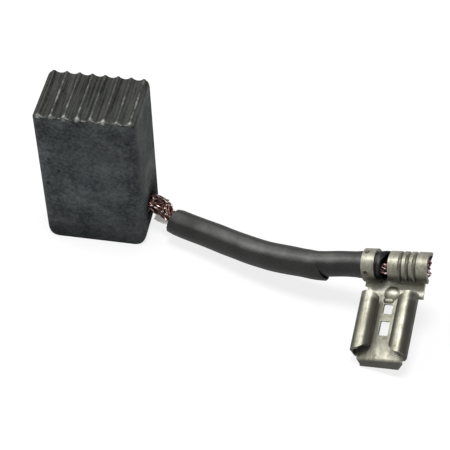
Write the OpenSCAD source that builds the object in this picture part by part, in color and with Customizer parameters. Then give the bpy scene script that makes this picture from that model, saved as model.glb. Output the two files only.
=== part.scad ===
// Carbon brush with a sleeved copper lead and a stamped flag receptacle.
// The block stands on its plain end: +Z is up to the grooved contact face,
// +X is the side that the lead leaves, and the origin is the middle of the base.

/* [Brush block] */
// Width of the block, along X
block_w = 14; // [10:0.5:20]
// Depth of the block, along Y
block_d = 9; // [7:0.5:14]
// Height of the block, from the plain end to the contact face
block_h = 22.5; // [15:0.5:40]
// Radius of the upright edges
edge_r = 0.9; // [0.2:0.1:1.5]
// Radius of the rounded corners beside the contact face
corner_r = 1.1; // [0.4:0.1:1.5]
// Radius of the rounded corners at the foot
foot_r = 1.8; // [0.4:0.1:2.5]
// Distance between the ridges of the contact face
groove_pitch = 1.75; // [1.2:0.05:2.5]
// Depth of the grooves in the contact face
groove_depth = 0.38; // [0.2:0.02:0.6]
// Width of the flat that is left on top of each ridge
ridge_land = 0.2; // [0.1:0.05:0.4]

/* [Lead hole] */
// Height of the lead hole above the foot
lead_z = 3.7; // [3:0.1:8]
// Diameter of the lead hole
hole_d = 3.4; // [3:0.1:4.5]
// Depth of the lead hole
hole_depth = 7; // [5:0.5:9]
// Width of the bevel round the mouth of the lead hole
hole_bevel = 0.35; // [0.1:0.05:0.5]
// How far the tamped powder stays below the side face
plug_recess = 0.6; // [0.2:0.1:1.5]

/* [Lead] */
// Diameter of the stranded copper lead
lead_d = 2.3; // [1.8:0.1:2.5]
// Wall of the pale fibre liner on the lead
liner_wall = 0.2; // [0.1:0.05:0.3]
// Wall of the inner black sleeve
inner_wall = 0.3; // [0.2:0.05:0.4]
// Wall of the outer black sleeve
outer_wall = 0.25; // [0.15:0.05:0.4]

/* [Receptacle] */
// Thickness of the terminal's sheet
sheet = 0.4; // [0.3:0.05:0.5]
// Width of the tab that the receptacle takes
tab_w = 6.3; // [4.8:0.1:7]
// Thickness of the tab that the receptacle takes
tab_t = 0.8; // [0.5:0.1:1]
// Room beside the tab on each side
tab_clear = 0.2; // [0.1:0.05:0.3]
// Length of the two rolled rails
rail_l = 7.8; // [6:0.1:10]
// Outer radius of the rails' roll
roll_r = 1.25; // [0.8:0.05:1.4]
// Outer radius of the bend between floor and rail
floor_bend = 0.7; // [0.6:0.05:0.9]
// Length of the slant at the mouth end of each rail's lip
rail_slant = 0.9; // [0.5:0.1:1.5]
// How much further the foot of each rail reaches than its top
rail_rake = 0.5; // [0.2:0.1:1]
// Flat floor in front of the rails
apron = 0.6; // [0.3:0.1:1]
// Length of the bent lead-in lip
lip_l = 0.8; // [0.5:0.1:1.5]
// Width of the lead-in lip
lip_w = 5.2; // [3:0.1:6]
// Angle by which the lead-in lip drops
lip_angle = 38; // [15:1:50]
// Length of the small window near the neck
window_small = 1.35; // [0.8:0.05:1.6]
// Length of the large window near the mouth
window_large = 2; // [1.2:0.1:2.6]
// Width of both windows
window_w = 1.25; // [0.8:0.05:1.6]
// Height of the pressed ridge that stops the tab
stop_h = 0.2; // [0.1:0.05:0.3]
// Height of the dome that is pressed up in the middle of the neck
dome_h = 0.35; // [0.2:0.05:0.6]

/* [Crimps] */
// Outer diameter of the wire crimp
wire_crimp_d = 4.1; // [3.6:0.1:4.6]
// Length of the wire crimp
wire_crimp_l = 5.2; // [4:0.1:6]
// Number of grooves pressed across the wire crimp
crimp_grooves = 3; // [1:1:4]
// Depth of those grooves at the top of the crimp
crimp_groove_depth = 0.22; // [0.1:0.02:0.3]
// Outer diameter of the sleeve crimp
sleeve_crimp_d = 4.4; // [4:0.1:5]
// Length of the sleeve crimp
sleeve_crimp_l = 1.7; // [1.4:0.1:2.5]
// Gap between the two crimps
crimp_gap = 1.8; // [1.6:0.1:3]
// Distance from the rails' back ends to the crimps' axis
crimp_back = 3.3; // [2.9:0.1:4]
// Angle by which the receptacle stands askew of the crimps
skew = 2; // [0:0.5:5]
// Distance of the receptacle's middle from the terminal's origin, along the wire
rec_x = 0.25; // [-0.5:0.05:0.5]
// Distance from the terminal's origin to the rails' back ends
rec_y = 0.3; // [0:0.05:0.6]

/* [Lie of the terminal] */
// Distance from the block's side face to the terminal's origin, along X
term_reach = 34.4; // [30:0.1:40]
// Distance of the terminal's origin in front of the lead hole
term_front = 12.5; // [8:0.1:16]
// Angle by which the mouth points down
term_pitch = 22.9; // [10:0.1:30]
// Angle by which the free end of the wire crimp is raised
term_roll = 14.6; // [5:0.1:20]
// Angle by which the free end of the wire crimp is turned forward
term_yaw = 8.3; // [0:0.1:15]

/* [Hidden] */
$fn = 64;
eps = 0.02;

// ---- brush block ----
groove_half = (groove_pitch - ridge_land) / 2;
groove_r = (groove_half * groove_half + groove_depth * groove_depth) / (2 * groove_depth);
groove_n = floor(block_w / groove_pitch / 2);
side_x = block_w / 2;
plug_l = hole_depth - plug_recess;

// ---- terminal, in its own frame: +X along the wire, -Y out of the mouth, +Z off the floor ----
rec_w = tab_w + 2 * tab_clear + 2 * sheet;
rec_h = sheet + tab_t + roll_r;
rail_x = rec_w / 2 - roll_r;
lip_gap = sheet + tab_t;
window_x = -0.15;
window_y = 2.35;
window_bridge = 0.95;
window_r = 0.15;
wire_x = 0.25;
wire_end_x = wire_x + wire_crimp_l;
end_slant = 1;
sleeve_end_x = wire_x - crimp_gap;
sleeve_x = sleeve_end_x - sleeve_crimp_l;
sleeve_z = sleeve_crimp_d / 2;
wire_z = wire_crimp_d / 2;
neck_left = sleeve_x - 0.3;
neck_right = wire_end_x - end_slant;
neck_l = 1.7;
neck_r = 0.4;
stop_x = -0.25;
stop_y = 0.5;
stop_w = 0.55;
dome_x = 0.25;
dome_y = 0.15;
dome_half = 1.05;
dome_r = (dome_half * dome_half + dome_h * dome_h) / (2 * dome_h);
dimple_r = 0.35;
dimple_depth = 0.12;
dimple_angles = [-29, 50];
seam_angle = 35;
sleeve_tail = 0.9;
sleeve_flare = 0.2;
flare_l = 0.3;
spread_l = 0.4;
end_recess = 0.3;
hole_end = 0.5;
groove_tool_r = 0.28;
groove_step = 0.95;
groove_first = 1.6;
groove_drop = 0.12;
web_l = 0.8;
chamfer_in = 0.1;
chamfer_l = 0.5;
back_angle = 4.5;
back_reach = 0.8;
lip_bend = 0.3;

function turn_x(p, a) = [p.x, p.y * cos(a) - p.z * sin(a), p.y * sin(a) + p.z * cos(a)];
function turn_y(p, a) = [p.x * cos(a) + p.z * sin(a), p.y, p.z * cos(a) - p.x * sin(a)];
function turn_z(p, a) = [p.x * cos(a) - p.y * sin(a), p.x * sin(a) + p.y * cos(a), p.z];
// Height over the floor of a point of the terminal, before the terminal is set down
function drop(p) = sin(term_roll) * p.x + cos(term_roll) * sin(term_pitch) * p.y
    + cos(term_roll) * cos(term_pitch) * p.z;
tip_y = -rail_l - apron - lip_bend * sin(lip_angle) - lip_l * cos(lip_angle);
lip_low = [-lip_w / 2, tip_y, lip_bend * cos(lip_angle) - lip_bend - lip_l * sin(lip_angle)];
term_pos = [side_x + term_reach, -term_front,
    -drop([rec_x, -rec_y, 0] + turn_z(lip_low, -skew))];

// A point of the terminal's frame, where the terminal lies
function lie(p) = term_pos + turn_z(turn_y(turn_x(p, term_pitch), -term_roll), -term_yaw);
function on_axis(x) = lie([x, crimp_back, x > wire_x ? wire_z : sleeve_z]);

// ---- route of the lead: the hole, the free sag and the crimps' axis ----
free_route = [[1.2, -0.2, -0.1], [2.6, -1.2, -0.7], [3.6, -1.9, -1], [6, -2.8, -0.9],
    [9, -3.9, -0.7], [12, -5.2, -0.4], [15, -6.5, 0], [18, -7.6, 0.5], [21, -8.4, 1], [23.5, -8.9, 1.5], [25.2, -9.1, 1.9],
    [28, -9.3, 2.6]];
route = concat(
    [[side_x - hole_depth + hole_end, 0, lead_z], [side_x - plug_recess, 0, lead_z]],
    [for (p = free_route) [side_x, 0, lead_z] + p],
    [for (x = [sleeve_x, sleeve_end_x, sleeve_end_x + flare_l, sleeve_end_x + sleeve_tail,
        wire_x + spread_l, wire_end_x - end_recess]) on_axis(x)]);
at_liner = 3;
at_sleeve = 4;
at_inner = 5;
at_flap = 12;
at_crimp = 14;
at_crimp_end = 15;
at_tail = 17;
at_wire = 18;
at_end = 19;
lead_sides = 8;

lead_r = lead_d / 2;
liner_r = lead_r + liner_wall;
inner_r = liner_r + inner_wall;
outer_r = inner_r + outer_wall;
wire_core_r = wire_crimp_d / 2 - sheet;
sleeve_core_r = sleeve_crimp_d / 2 - sheet;

function unit(v) = v / norm(v);
function along(i) = unit(route[min(i + 1, at_end)] - route[max(i - 1, 0)]);
function ring(i, r, lift) = let (t = along(i), s = unit(cross(t, [0, 0, 1])), u = cross(s, t))
    [for (k = [0:lead_sides - 1]) let (a = (k + 0.5) * 360 / lead_sides)
        route[i] + lift * u + r * (cos(a) * s + sin(a) * u)];
function skin(n, first, flip) = [for (j = [0:n - 2], k = [0:lead_sides - 1])
    let (a = first + j * lead_sides + k, b = first + j * lead_sides + (k + 1) % lead_sides,
        c = a + lead_sides, d = b + lead_sides)
        each flip ? [[a, b, d], [a, d, c]] : [[a, d, b], [a, c, d]]];

// Solid rod over the route: each stop is [place on the route, radius]
module rod(stops) {
    n = len(stops);
    points = [for (s = stops) each ring(s[0], s[1], 0)];
    last = (n - 1) * lead_sides;
    polyhedron(points, concat(skin(n, 0, true),
        [[for (k = [lead_sides - 1:-1:0]) k]], [[for (k = [0:lead_sides - 1]) last + k]]));
}

// Hollow sleeve over the route: each stop is [place on the route, outer radius, bore radius, lift]
module sleeve(stops) {
    n = len(stops);
    m = n * lead_sides;
    points = concat([for (s = stops) each ring(s[0], s[1], s[3])],
        [for (s = stops) each ring(s[0], s[2], 0)]);
    last = (n - 1) * lead_sides;
    ends = [for (k = [0:lead_sides - 1]) let (l = (k + 1) % lead_sides)
        each [[k, m + l, l], [k, m + k, m + l],
            [last + k, last + l, last + m + l], [last + k, last + m + l, last + m + k]]];
    polyhedron(points, concat(skin(n, 0, true), skin(n, m, false), ends));
}

// Rectangle w by h from the middle of its foot, its lower and its upper corners rounded
module soft_square(w, h, low_r, top_r) {
    for (s = [-1, 1]) {
        translate([s * (w / 2 - low_r), low_r]) circle(low_r);
        translate([s * (w / 2 - top_r), h - top_r]) circle(top_r);
    }
    translate([-w / 2, low_r]) square([w, h - low_r - top_r]);
    translate([low_r - w / 2, 0]) square([w - 2 * low_r, h / 2]);
    translate([top_r - w / 2, h / 2]) square([w - 2 * top_r, h / 2]);
}

module block_body() {
    intersection() {
        translate([0, block_d / 2, 0]) rotate([90, 0, 0])
            linear_extrude(block_d) soft_square(block_w, block_h, foot_r, corner_r);
        translate([0, -block_d / 2, 0])
            linear_extrude(block_h) soft_square(block_w, block_d, edge_r, edge_r);
    }
}

module contact_grooves() {
    for (i = [-groove_n:groove_n])
        translate([i * groove_pitch, block_d, block_h + groove_r - groove_depth])
            rotate([90, 0, 0]) cylinder(r = groove_r, h = 2 * block_d);
}

module brush_block() color("#3a3c3f") {
    difference() {
        block_body();
        contact_grooves();
        translate([side_x - hole_depth, 0, lead_z]) rotate([0, 90, 0]) {
            cylinder(d = hole_d, h = hole_depth + 1);
            translate([0, 0, hole_depth - hole_bevel])
                cylinder(d1 = hole_d, d2 = hole_d + 4 * hole_bevel, h = 2 * hole_bevel);
        }
    }
}

module tamping_plug() color("#5a3a30")
    translate([side_x - hole_depth, 0, lead_z]) rotate([0, 90, 0]) difference() {
        cylinder(d = hole_d, h = plug_l);
        translate([0, 0, hole_end]) cylinder(d = lead_d, h = plug_l);
    }

module copper_lead() color("#8a4a34")
    rod(concat([for (i = [0:at_wire - 1]) [i, lead_r]],
        [[at_wire, wire_core_r], [at_end, wire_core_r]]));

module fibre_liner() color("#9c9c98")
    sleeve([for (i = [at_liner:at_crimp_end]) [i, liner_r, lead_r, 0]]);

module inner_sleeve() color("#2c2d2e")
    sleeve(concat([for (i = [at_inner:at_crimp - 1]) [i, inner_r, liner_r, 0]],
        [for (i = [at_crimp, at_crimp_end]) [i, sleeve_core_r, liner_r, 0]],
        [for (i = [at_crimp_end + 1:at_tail])
            [i, sleeve_core_r + sleeve_flare, liner_r, sleeve_flare]]));

module outer_sleeve() color("#333435")
    sleeve([for (i = [at_sleeve:at_flap]) [i, outer_r, inner_r, 0]]);

// Ring sector between two angles, from the radius r inward by the sheet
module bent_sheet(r, from, to) {
    steps = ceil((to - from) / 60);
    intersection() {
        difference() {
            circle(r);
            circle(r - sheet);
        }
        polygon(concat([[0, 0]], [for (i = [0:steps])
            let (a = from + (to - from) * i / steps) 3 * r * [cos(a), sin(a)]]));
    }
}

// Section of the receptacle: the floor and one rail on each side, rolled over and in
module receptacle_section() {
    translate([floor_bend - rec_w / 2, 0]) square([rec_w - 2 * floor_bend, sheet]);
    for (s = [0, 1]) mirror([s, 0]) {
        translate([rec_w / 2 - floor_bend, floor_bend]) bent_sheet(floor_bend, 270, 360);
        translate([rec_w / 2 - sheet, floor_bend]) square([sheet, lip_gap - floor_bend]);
        translate([rail_x, lip_gap]) bent_sheet(roll_r, 0, 180);
    }
}

// Both rails, their mouth ends raked, and their lips slanted to lead the tab in
module rails() {
    reach = rail_l + rail_rake;
    difference() {
        translate([0, back_reach, 0]) rotate([90, 0, 0])
            linear_extrude(reach + back_reach) receptacle_section();
        translate([-rail_x, 0, -rec_h]) rotate([0, 0, back_angle]) translate([-rec_w, 0, 0])
            cube([3 * rec_w, 2 * rec_w, 3 * rec_h]);
        rotate([90, 0, -90]) translate([0, 0, -rec_w]) linear_extrude(2 * rec_w)
            polygon([[reach, sheet + eps], [reach + 1, sheet + eps], [reach + 1, 2 * rec_h],
                [rail_l, 2 * rec_h], [rail_l, rec_h]]);
        for (s = [0, 1]) mirror([s, 0, 0]) {
            translate([0, 0, lip_gap - tab_t / 2]) linear_extrude(rec_h)
                polygon([[0, -reach - 1], [rail_x, -reach - 1], [rail_x, -rail_l],
                    [rail_x - roll_r, -rail_l + rail_slant], [0, -rail_l + rail_slant]]);
            translate([rail_x - roll_r - chamfer_in, -chamfer_l, lip_gap - tab_t / 2])
                rotate([0, 0, 30]) cube([roll_r, 2 * roll_r, rec_h]);
        }
    }
}

// Floor in front of the rails with its lead-in lip, bent down
module lead_in() {
    half = rec_w / 2 - floor_bend;
    rotate([90, 0, -90]) translate([0, 0, -half]) linear_extrude(2 * half) {
        translate([rail_l - 1, 0]) square([apron + 1, sheet]);
        translate([rail_l + apron, -lip_bend]) {
            bent_sheet(lip_bend + sheet, 90 - lip_angle, 90);
            rotate(-lip_angle) translate([0, lip_bend]) square([lip_l, sheet]);
        }
    }
}

// What the blank leaves off on both sides of the lead-in
module mouth_corners() {
    for (s = [-1, 1]) translate([0, 0, -rec_h]) linear_extrude(3 * rec_h)
        polygon([[s * rec_w / 2, -rail_l - 0.1], [s * lip_w / 2, tip_y],
            [s * lip_w / 2, tip_y - 1], [s * rec_w, tip_y - 1], [s * rec_w, -rail_l - 0.1]]);
}

// Ridge pressed up across the floor, where the tab stops
module tab_stop() {
    translate([stop_x - stop_w / 2, -stop_y, 0]) rotate([0, 90, 0])
        cylinder(r = sheet + stop_h, h = stop_w);
    for (s = [-1, 1]) translate([stop_x + s * stop_w / 2, -stop_y, 0]) sphere(sheet + stop_h);
}

// Dome that is pressed up in the middle of the neck; inset by the sheet it is its hollow
module neck_dome(inset) {
    intersection() {
        translate([dome_x, dome_y, sheet + dome_h - dome_r]) sphere(dome_r - inset);
        translate([-rec_w, -rec_w, -inset]) cube([2 * rec_w, 2 * rec_w, rec_h]);
    }
}

module windows() {
    for (w = [[-window_y + window_small / 2, window_small],
        [-window_y - window_bridge - window_large / 2, window_large]])
        translate([window_x, w[0] - w[1] / 2, -eps]) linear_extrude(sheet + 2 * eps)
            soft_square(window_w, w[1], window_r, window_r);
}

// Flat sheet that joins the receptacle's floor to the foot of both crimps
module neck() {
    linear_extrude(sheet) {
        difference() {
            translate([neck_left, -rec_y]) square([neck_right - neck_left, neck_l + rec_y]);
            translate([neck_left, neck_l / 2 - 0.2]) circle(neck_r);
        }
        translate([sleeve_x, neck_l - eps]) square([sleeve_crimp_l, crimp_back - neck_l + eps]);
        translate([sleeve_end_x - eps, neck_l - eps])
            square([crimp_gap + 2 * eps, crimp_back + 1 - neck_l]);
        translate([wire_x, neck_l - eps])
            square([wire_crimp_l - end_slant, crimp_back - neck_l + eps]);
    }
}

// One crimp: the sheet goes on from the neck under the wire, up behind it, over and down in front
module crimp(x, length, d) {
    translate([x, crimp_back, d / 2]) rotate([90, 0, 90])
        linear_extrude(length) bent_sheet(d / 2, -90, 180 + seam_angle);
}

// The sleeve crimp, with the two marks of its punch
module sleeve_crimp() {
    difference() {
        crimp(sleeve_x, sleeve_crimp_l, sleeve_crimp_d);
        for (a = dimple_angles)
            translate([sleeve_x + sleeve_crimp_l / 3, crimp_back, sleeve_z]) rotate([a, 0, 0])
                translate([0, 0, sleeve_crimp_d / 2 + dimple_r - dimple_depth]) sphere(dimple_r);
    }
}

// The wire crimp with its pressed grooves, its free end cut back towards the foot
module wire_crimp() {
    difference() {
        crimp(wire_x, wire_crimp_l, wire_crimp_d);
        translate([0, crimp_back + wire_crimp_d, 0]) rotate([90, 0, 0])
            linear_extrude(2 * wire_crimp_d)
                polygon([[wire_end_x - end_slant, -1], [wire_end_x - end_slant, 0],
                    [wire_end_x, wire_crimp_d / 2], [wire_end_x + 1, wire_crimp_d / 2],
                    [wire_end_x + 1, -1]]);
        for (i = [0:crimp_grooves - 1])
            translate([wire_x + groove_first + i * groove_step, crimp_back,
                wire_z - groove_drop])
                rotate([0, 90, 0]) rotate_extrude()
                    translate([wire_z + groove_drop + groove_tool_r - crimp_groove_depth, 0])
                        circle(groove_tool_r);
    }
}

// Low web that leads up to the wire crimp at the neck side
module web() {
    rise = wire_crimp_d / 3;
    intersection() {
        translate([wire_x - web_l, crimp_back, wire_z]) rotate([90, 0, 90])
            linear_extrude(web_l + eps) bent_sheet(wire_z, -90, -30);
        translate([wire_x, crimp_back + wire_crimp_d, 0]) rotate([90, 0, 0])
            linear_extrude(2 * wire_crimp_d)
                polygon([[-web_l, 0], [1, 0], [1, rise], [0, rise], [-web_l, sheet]]);
    }
}

// Receptacle with its windows, a little askew on the neck
module receptacle() {
    translate([rec_x, -rec_y, 0]) rotate([0, 0, -skew]) difference() {
        union() {
            rails();
            lead_in();
            intersection() {
                tab_stop();
                translate([-rec_w, -rail_l, 0]) cube([2 * rec_w, rail_l, rec_h]);
            }
        }
        windows();
        mouth_corners();
    }
}

module flag_terminal() color("#b3b1a0")
    translate(term_pos) rotate([term_pitch, -term_roll, -term_yaw]) difference() {
        union() {
            receptacle();
            neck();
            neck_dome(0);
            sleeve_crimp();
            wire_crimp();
            web();
        }
        neck_dome(sheet);
    }

brush_block();
tamping_plug();
copper_lead();
fibre_liner();
inner_sleeve();
outer_sleeve();
flag_terminal();
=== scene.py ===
import math
import random

import bpy
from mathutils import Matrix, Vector, noise


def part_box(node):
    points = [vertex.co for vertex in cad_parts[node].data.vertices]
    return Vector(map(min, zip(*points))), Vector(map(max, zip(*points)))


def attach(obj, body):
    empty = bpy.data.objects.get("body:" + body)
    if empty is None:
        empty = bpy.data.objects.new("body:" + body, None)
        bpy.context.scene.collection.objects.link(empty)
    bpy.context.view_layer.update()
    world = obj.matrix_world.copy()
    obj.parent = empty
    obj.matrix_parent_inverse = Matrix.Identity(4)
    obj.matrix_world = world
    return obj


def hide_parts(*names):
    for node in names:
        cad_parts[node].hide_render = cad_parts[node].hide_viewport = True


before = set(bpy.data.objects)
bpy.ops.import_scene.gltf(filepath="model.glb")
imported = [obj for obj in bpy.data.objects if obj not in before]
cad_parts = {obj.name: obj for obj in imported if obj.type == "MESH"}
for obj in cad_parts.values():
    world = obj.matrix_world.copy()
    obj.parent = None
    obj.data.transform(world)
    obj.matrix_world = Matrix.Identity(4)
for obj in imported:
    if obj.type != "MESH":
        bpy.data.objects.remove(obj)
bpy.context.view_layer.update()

MM = 0.001
BODY = "root"
SEED = 11


def in_metres(points):
    """Vectors in metres from points in millimetres"""
    return [Vector(p) * MM for p in points]


# ---------------------------------------------------------------- places
# Corners of the block, its ridges, its lead hole and the powder in it
BLOCK_LOW, BLOCK_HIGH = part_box("brush_block")
RIDGE_PITCH = 1.75 * MM
SIDE_X = BLOCK_HIGH.x
HOLE = Vector((SIDE_X, 0, 3.7 * MM))
HOLE_R = 1.7 * MM
HOLE_DEPTH = 7 * MM
POWDER_BELOW_MOUTH = 0.65 * MM

# Where the sleeve crimp holds the inner sleeve, and where the outer sleeve is cut off
CRIMP_FROM_X, CRIMP_TO_X = 37.78 * MM, 39.41 * MM
OUTER_CUT_X = 32.2 * MM

# The stretch of the lead that is sleeved, from block to terminal, in millimetres
SLEEVED = (
    (13, -2.8, 2.8), (16, -3.9, 3.0), (19, -5.2, 3.3), (22, -6.5, 3.7), (25, -7.6, 4.2),
    (28, -8.4, 4.7), (30.5, -8.9, 5.2), (32.2, -9.1, 5.6), (35, -9.3, 6.3),
    (37.78, -9.76, 7.1), (39.41, -10.0, 7.53), (40.27, -10.13, 7.755))
# Route of the lead, from the tamped powder to the open end of the wire crimp
LEAD_ROUTE = in_metres((
    (6.2, 0, 3.7), (7.1, 0, 3.72), (8.3, -0.15, 3.62), (9.6, -1.0, 3.25), (10.7, -1.75, 2.9),
    *SLEEVED, (41.56, -10.26, 7.95), (45.77, -10.868, 9.055)))
# Route of the sleeving, which hangs a little lower than the copper at its mouth
SLEEVE_ROUTE = in_metres(((10.45, -1.83, 2.72), *SLEEVED))

# Where the terminal lies: its origin and its turn, and the way that the wire runs through it
TERMINAL_AT = Vector((41.4, -12.5, 4.7155)) * MM
TERMINAL_TURN = (math.radians(22.9), math.radians(-14.6), math.radians(-8.3))
WIRE_WAY = Vector((0.95757, -0.13969, 0.25207))


# ---------------------------------------------------------------- bench work
def bench_clear():
    """Nothing is selected, so that the next operator meets only its own piece"""
    if bpy.context.mode != "OBJECT":
        bpy.ops.object.mode_set(mode="OBJECT")
    bpy.ops.object.select_all(action="DESELECT")


def on_bench(piece):
    """Only this piece is selected and active"""
    bench_clear()
    piece.select_set(True)
    bpy.context.view_layer.objects.active = piece


def finish_modifiers(piece):
    """Applies each modifier of the piece in turn"""
    on_bench(piece)
    for modifier in list(piece.modifiers):
        bpy.ops.object.modifier_apply(modifier=modifier.name)


def smooth_edges(piece, degrees):
    """Smooth shading that keeps edges sharper than the angle"""
    on_bench(piece)
    bpy.ops.object.shade_smooth_by_angle(angle=math.radians(degrees))


def settle_place(piece):
    """The piece's place goes into its mesh"""
    on_bench(piece)
    bpy.ops.object.transform_apply(location=True, rotation=True, scale=True)


def seat(piece, slot, material, *nodes):
    """The piece rides on the part, takes its finish and stands for its CAD nodes"""
    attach(piece, BODY)
    piece.data.materials.clear()
    piece.data.materials.append(material)
    if nodes:
        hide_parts(*nodes)


# ---------------------------------------------------------------- camera
# Place in metres, turn in degrees, and sensor and lens in millimetres
CAMERA_AT = (0.048742, -0.149933, 0.161036)
CAMERA_TURN = (43.7559, 1.4292, 10.3843)
SENSOR_WIDTH, LENS = 36, 128


def set_camera():
    """Camera high in front of the brush, a little to its right"""
    bench_clear()
    bpy.ops.object.camera_add(location=CAMERA_AT,
                              rotation=[math.radians(a) for a in CAMERA_TURN])
    camera = bpy.context.object
    camera.name = "camera"
    camera.data.sensor_width = SENSOR_WIDTH
    camera.data.lens = LENS
    camera.data.clip_start = 0.01
    camera.data.clip_end = 10
    bpy.context.scene.camera = camera


set_camera()


# ---------------------------------------------------------------- routes and tubes
def smooth_route(points, step):
    """Points about one step apart on a smooth curve through the given points"""
    gaps = [(b - a).length for a, b in zip(points, points[1:])]
    slopes = [(b - a) / g for a, b, g in zip(points, points[1:], gaps)]
    lean = [slopes[0]]
    for i in range(1, len(slopes)):
        lean.append((slopes[i - 1] * gaps[i] + slopes[i] * gaps[i - 1]) / (gaps[i - 1] + gaps[i]))
    lean.append(slopes[-1])
    line = []
    for i, gap in enumerate(gaps):
        parts = max(1, round(gap / step))
        for k in range(parts):
            t = k / parts
            line.append(points[i] * (2 * t ** 3 - 3 * t ** 2 + 1)
                        + lean[i] * (gap * (t ** 3 - 2 * t ** 2 + t))
                        + points[i + 1] * (3 * t ** 2 - 2 * t ** 3)
                        + lean[i + 1] * (gap * (t ** 3 - t ** 2)))
    line.append(points[-1].copy())
    return line


def travelled(line):
    """Distance from the first point to each point of the line"""
    total, marks = 0.0, [0.0]
    for a, b in zip(line, line[1:]):
        total += (b - a).length
        marks.append(total)
    return marks


def cross_frames(line, up=Vector((0, 0, 1))):
    """A side and an up direction at each point, carried along the line without twist"""
    frames = []
    for i in range(len(line)):
        along = (line[min(i + 1, len(line) - 1)] - line[max(i - 1, 0)]).normalized()
        side = along.cross(up).normalized()
        up = side.cross(along)
        frames.append((side, up, along))
    return frames


def blend_at(stops, s):
    """Value between the stops (distance, value), eased"""
    if s <= stops[0][0]:
        return stops[0][1]
    for (a, va), (b, vb) in zip(stops, stops[1:]):
        if s <= b:
            t = (s - a) / (b - a)
            return va + (vb - va) * t * t * (3 - 2 * t)
    return stops[-1][1]


def new_piece(name, points, faces):
    """A piece made of the given points and faces"""
    mesh = bpy.data.meshes.new(name)
    mesh.from_pydata([tuple(p) for p in points], [], faces)
    piece = bpy.data.objects.new(name, mesh)
    bpy.context.scene.collection.objects.link(piece)
    return piece


class Skin:
    """Gathers rings of points into one mesh with a map along and around it"""

    def __init__(self):
        self.points, self.faces, self.maps, self.shades = [], [], [], []

    def tube(self, rings, marks, closed_ends, shade=0.5):
        """Joins the rings in turn, each mapped at its mark, and may close both ends"""
        sides = len(rings[0])
        first = len(self.points)
        for ring in rings:
            self.points.extend(ring)
        self.shades.extend([shade] * (sides * len(rings)))
        for j in range(len(rings) - 1):
            for k in range(sides):
                a = first + j * sides + k
                b = first + j * sides + (k + 1) % sides
                self.faces.append((a, b, b + sides, a + sides))
                u0, u1 = k / sides, (k + 1) / sides
                self.maps.append(((u0, marks[j]), (u1, marks[j]),
                                  (u1, marks[j + 1]), (u0, marks[j + 1])))
        if closed_ends:
            last = first + (len(rings) - 1) * sides
            self.faces.append(tuple(first + k for k in reversed(range(sides))))
            self.faces.append(tuple(last + k for k in range(sides)))
            for mark in (marks[0], marks[-1]):
                self.maps.append(tuple((0.5, mark) for _ in range(sides)))

    def piece(self, name):
        """The gathered tubes as one piece, with its map and the tone of each wire"""
        piece = new_piece(name, self.points, self.faces)
        layer = piece.data.uv_layers.new(name="along")
        flat = [c for face in self.maps for corner in face for c in corner]
        layer.data.foreach_set("uv", flat)
        shade = piece.data.attributes.new("wire_tone", "FLOAT", "POINT")
        shade.data.foreach_set("value", self.shades)
        piece.data.update()
        return piece


# ---------------------------------------------------------------- copper lead
ROPE_R = 0.81 * MM
WIRE_R = 0.115 * MM
ROPE_STEP = 0.28 * MM
ROPE_SIDES = 7
# How many bundles lie round the middle one, and wires round the middle one of their bundle
ROUND_MIDDLE = 6
# How far the outer bundles lie from the rope's middle, and the outer wires from their bundle's,
# and the length in which each goes round once
BUNDLE_OUT, ROPE_LAY = 0.66 * ROPE_R, 7.5 * MM
WIRE_OUT, BUNDLE_LAY = 0.30 * ROPE_R, 4.6 * MM
# How far a loose wire strays at most, and the length of its waves
STRAY, STRAY_WAVE = 0.27 * MM, 1.5 * MM
WIRE_CRIMP_LENGTH = 4.55 * MM


def wire_rings(line, frames, place, radius, sides):
    """Rings round one wire: place(i) is its offset in the cross section, radius(i) its radius"""
    centres = []
    for i, (side, up, along) in enumerate(frames):
        x, y = place(i)
        centres.append(line[i] + side * x + up * y)
    rings = []
    for i, centre in enumerate(centres):
        along = (centres[min(i + 1, len(centres) - 1)] - centres[max(i - 1, 0)]).normalized()
        side = along.cross(frames[i][1]).normalized()
        up = side.cross(along)
        rings.append([centre + radius(i) * (math.cos(a) * side + math.sin(a) * up)
                      for a in (math.tau * k / sides for k in range(sides))])
    return rings


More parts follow.
